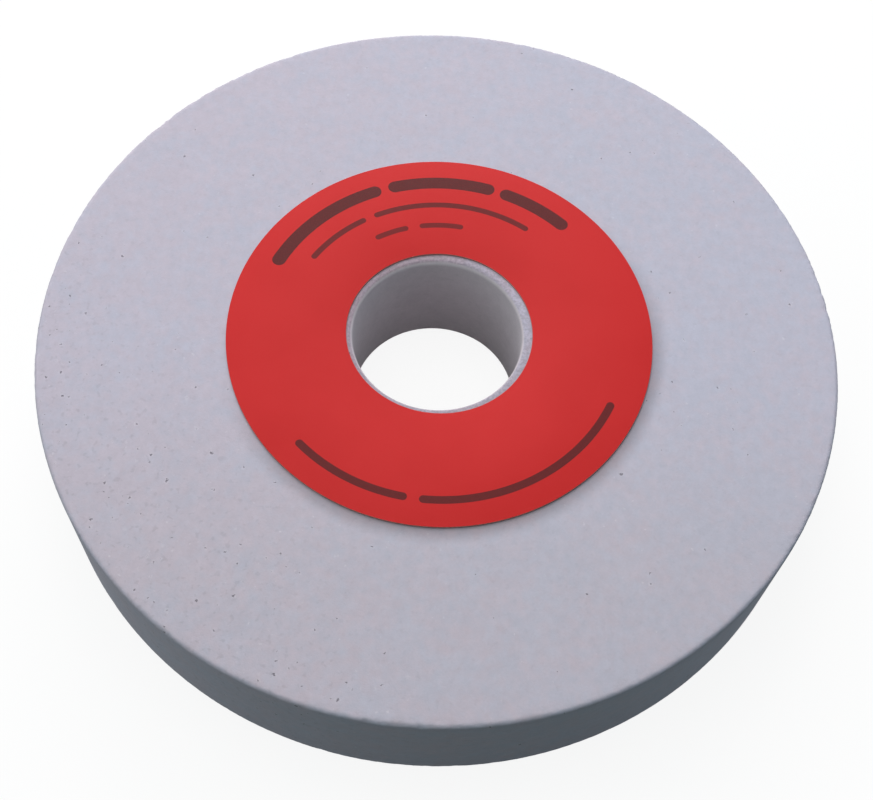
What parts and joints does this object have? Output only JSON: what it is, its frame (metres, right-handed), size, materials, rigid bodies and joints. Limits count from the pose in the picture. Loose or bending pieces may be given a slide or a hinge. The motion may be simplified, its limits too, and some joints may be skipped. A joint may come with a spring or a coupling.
{
  "type": "grinding wheel",
  "caption": "Straight white vitrified grinding wheel with a plain bore and a red paper blotter pasted on each side, for a bench or tool grinder.",
  "frame": {"origin": "where the bore's axis meets the surface that the wheel lies on, at the rear blotter's outer face", "axes": "+Z along the bore's axis, out of the front side, the one the picture shows; +X to the right in the picture; the front blotter is pasted a little off centre towards +X and +Y"},
  "size_m": [0.15, 0.15, 0.0258],
  "materials": {
    "abrasive": "matte",
    "blotter_paper": "matte"
  },
  "bodies": {
    "root": {"abrasive_wheel": "abrasive", "front_blotter": "blotter_paper", "rear_blotter": "blotter_paper"}
  },
  "joints": []
}
